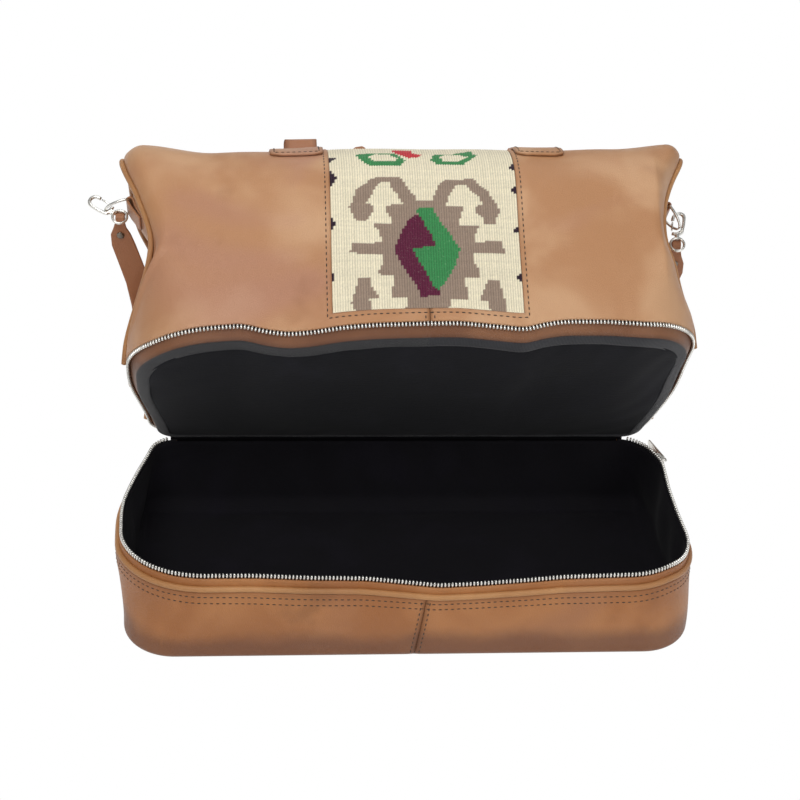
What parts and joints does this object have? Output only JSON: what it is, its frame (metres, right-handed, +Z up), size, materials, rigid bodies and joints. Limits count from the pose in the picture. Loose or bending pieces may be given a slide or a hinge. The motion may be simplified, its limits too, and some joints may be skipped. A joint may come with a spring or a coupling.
{
  "type": "travel bag",
  "caption": "Leather weekend bag with a woven front panel, zipped open at the shoe compartment in its base and tipped back on its hinge.",
  "frame": {"origin": "centre of the base's underside, on the surface that the bag stands on", "axes": "+X along the bag to its right end as seen from the front, -Y towards the front, +Z up"},
  "size_m": [0.6229, 0.5813, 0.4033],
  "materials": {
    "tan_leather": "soft pull-up sheen with light scuffs",
    "base_leather": "soft pull-up sheen, darker towards the bottom",
    "edge_leather": "smooth, burnished",
    "lining": "plain dull weave",
    "webbing": "ribbed tape",
    "metal": "polished nickel",
    "dark_metal": "antiqued",
    "board": "dull fibre board",
    "kilim_wool": "ribbed flat weave"
  },
  "bodies": {
    "base": {"base_bottom": "base_leather", "base_wall_left": "base_leather", "base_wall_right": "base_leather", "base_board": "board", "base_piping": "edge_leather", "base_lining": "lining", "base_zip_facing": "base_leather", "base_zip_tape": "lining", "base_zip_teeth": "metal", "hinge_strip": "base_leather"},
    "compartment_slider": {"compartment_slider": "metal"},
    "compartment_pull": {"compartment_pull": "metal"},
    "top_slider_left": {"top_slider_left": "metal"},
    "top_slider_right": {"top_slider_right": "metal"},
    "top_pull_left": {"top_pull_left": "dark_metal"},
    "top_pull_right": {"top_pull_right": "edge_leather"},
    "handle_front": {"handle_front": "tan_leather", "handle_ring_front_left": "dark_metal", "handle_ring_front_right": "dark_metal"},
    "handle_back": {"handle_back": "tan_leather", "handle_ring_back_left": "dark_metal", "handle_ring_back_right": "dark_metal"},
    "d_ring_left": {"d_ring_left": "metal"},
    "d_ring_right": {"d_ring_right": "metal"},
    "hook_gate_left": {"hook_gate_left": "metal"},
    "hook_gate_right": {"hook_gate_right": "metal"},
    "upper": {"divider_panel": "lining", "divider_welt": "webbing", "upper_zip_facing": "base_leather", "upper_zip_tape": "lining", "upper_zip_teeth": "metal", "front_panel_left": "tan_leather", "front_panel_right": "tan_leather", "kilim_panel": "kilim_wool", "back_panel_left": "tan_leather", "back_panel_right": "tan_leather", "end_panel_left": "tan_leather", "end_panel_right": "tan_leather", "piping_left": "edge_leather", "piping_right": "edge_leather", "lining_front": "lining", "lining_back": "lining", "lining_end_left": "lining", "lining_end_right": "lining", "top_zip_teeth": "metal", "top_zip_tape_front": "lining", "top_zip_tape_back": "lining", "zip_end_left": "tan_leather", "zip_end_right": "tan_leather", "handle_tab_front_left": "tan_leather", "handle_tab_front_right": "tan_leather", "handle_tab_back_left": "tan_leather", "handle_tab_back_right": "tan_leather", "side_tab_left": "tan_leather", "side_tab_right": "tan_leather", "snap_hook_left": "metal", "snap_hook_right": "metal", "shoulder_strap": "tan_leather", "strap_rivet_left": "dark_metal", "strap_rivet_right": "dark_metal"}
  },
  "joints": [
    {"name": "compartment_hinge", "type": "hinge", "parent": "base", "child": "upper", "pos_m": [0, 0.12955, 0.094], "axis": [-1, 0, 0], "range_deg": [-55, 25], "deforming": ["hinge_strip", "shoulder_strap"]},
    {"name": "compartment_slider_slide", "type": "slide", "parent": "base", "child": "compartment_slider", "axis": [0, -1, 0], "range_m": [0, 0.128]},
    {"name": "compartment_pull_hinge", "type": "hinge", "parent": "compartment_slider", "child": "compartment_pull", "pos_m": [0.27715, 0.086, 0.0895], "axis": [0, 0, -1], "range_deg": [0, 172]},
    {"name": "top_slider_left_slide", "type": "slide", "parent": "upper", "child": "top_slider_left", "axis": [-1, 0, 0], "range_m": [0, 0.165]},
    {"name": "top_slider_right_slide", "type": "slide", "parent": "upper", "child": "top_slider_right", "axis": [1, 0, 0], "range_m": [0, 0.138]},
    {"name": "top_pull_left_hinge", "type": "hinge", "parent": "top_slider_left", "child": "top_pull_left", "pos_m": [-0.066, 0.24295, 0.33156], "axis": [0, 0.5736, -0.8191], "range_deg": [0, 98]},
    {"name": "top_pull_right_hinge", "type": "hinge", "parent": "top_slider_right", "child": "top_pull_right", "pos_m": [-0.044, 0.24295, 0.33156], "axis": [0, 0.5736, -0.8191], "range_deg": [-6, 74]},
    {"name": "handle_front_hinge", "type": "hinge", "parent": "upper", "child": "handle_front", "pos_m": [0, 0.22169, 0.36306], "axis": [1, 0, 0], "range_deg": [0, 52]},
    {"name": "handle_back_hinge", "type": "hinge", "parent": "upper", "child": "handle_back", "pos_m": [0, 0.26528, 0.3008], "axis": [1, 0, 0], "range_deg": [0, 69]},
    {"name": "d_ring_left_hinge", "type": "hinge", "parent": "upper", "child": "d_ring_left", "pos_m": [-0.27612, 0.2162, 0.31282], "axis": [0, 0.5736, -0.8191], "range_deg": [0, 8]},
    {"name": "d_ring_right_hinge", "type": "hinge", "parent": "upper", "child": "d_ring_right", "pos_m": [0.27612, 0.2162, 0.31282], "axis": [0, 0.5736, -0.8191], "range_deg": [0, 4]},
    {"name": "hook_gate_left_hinge", "type": "hinge", "parent": "upper", "child": "hook_gate_left", "pos_m": [-0.29592, 0.21656, 0.31308], "axis": [0, -0.5736, 0.8191], "range_deg": [0, 20], "stiffness_Nm_per_rad": 0.01, "springref_deg": -17.19},
    {"name": "hook_gate_right_hinge", "type": "hinge", "parent": "upper", "child": "hook_gate_right", "pos_m": [0.28483, 0.19627, 0.29888], "axis": [0, 0.5736, -0.8191], "range_deg": [0, 20], "stiffness_Nm_per_rad": 0.01, "springref_deg": -17.19}
  ],
  "couplings": [
    {"joint": "handle_back_hinge", "follows": "handle_front_hinge", "ratio": 1.3269}
  ]
}
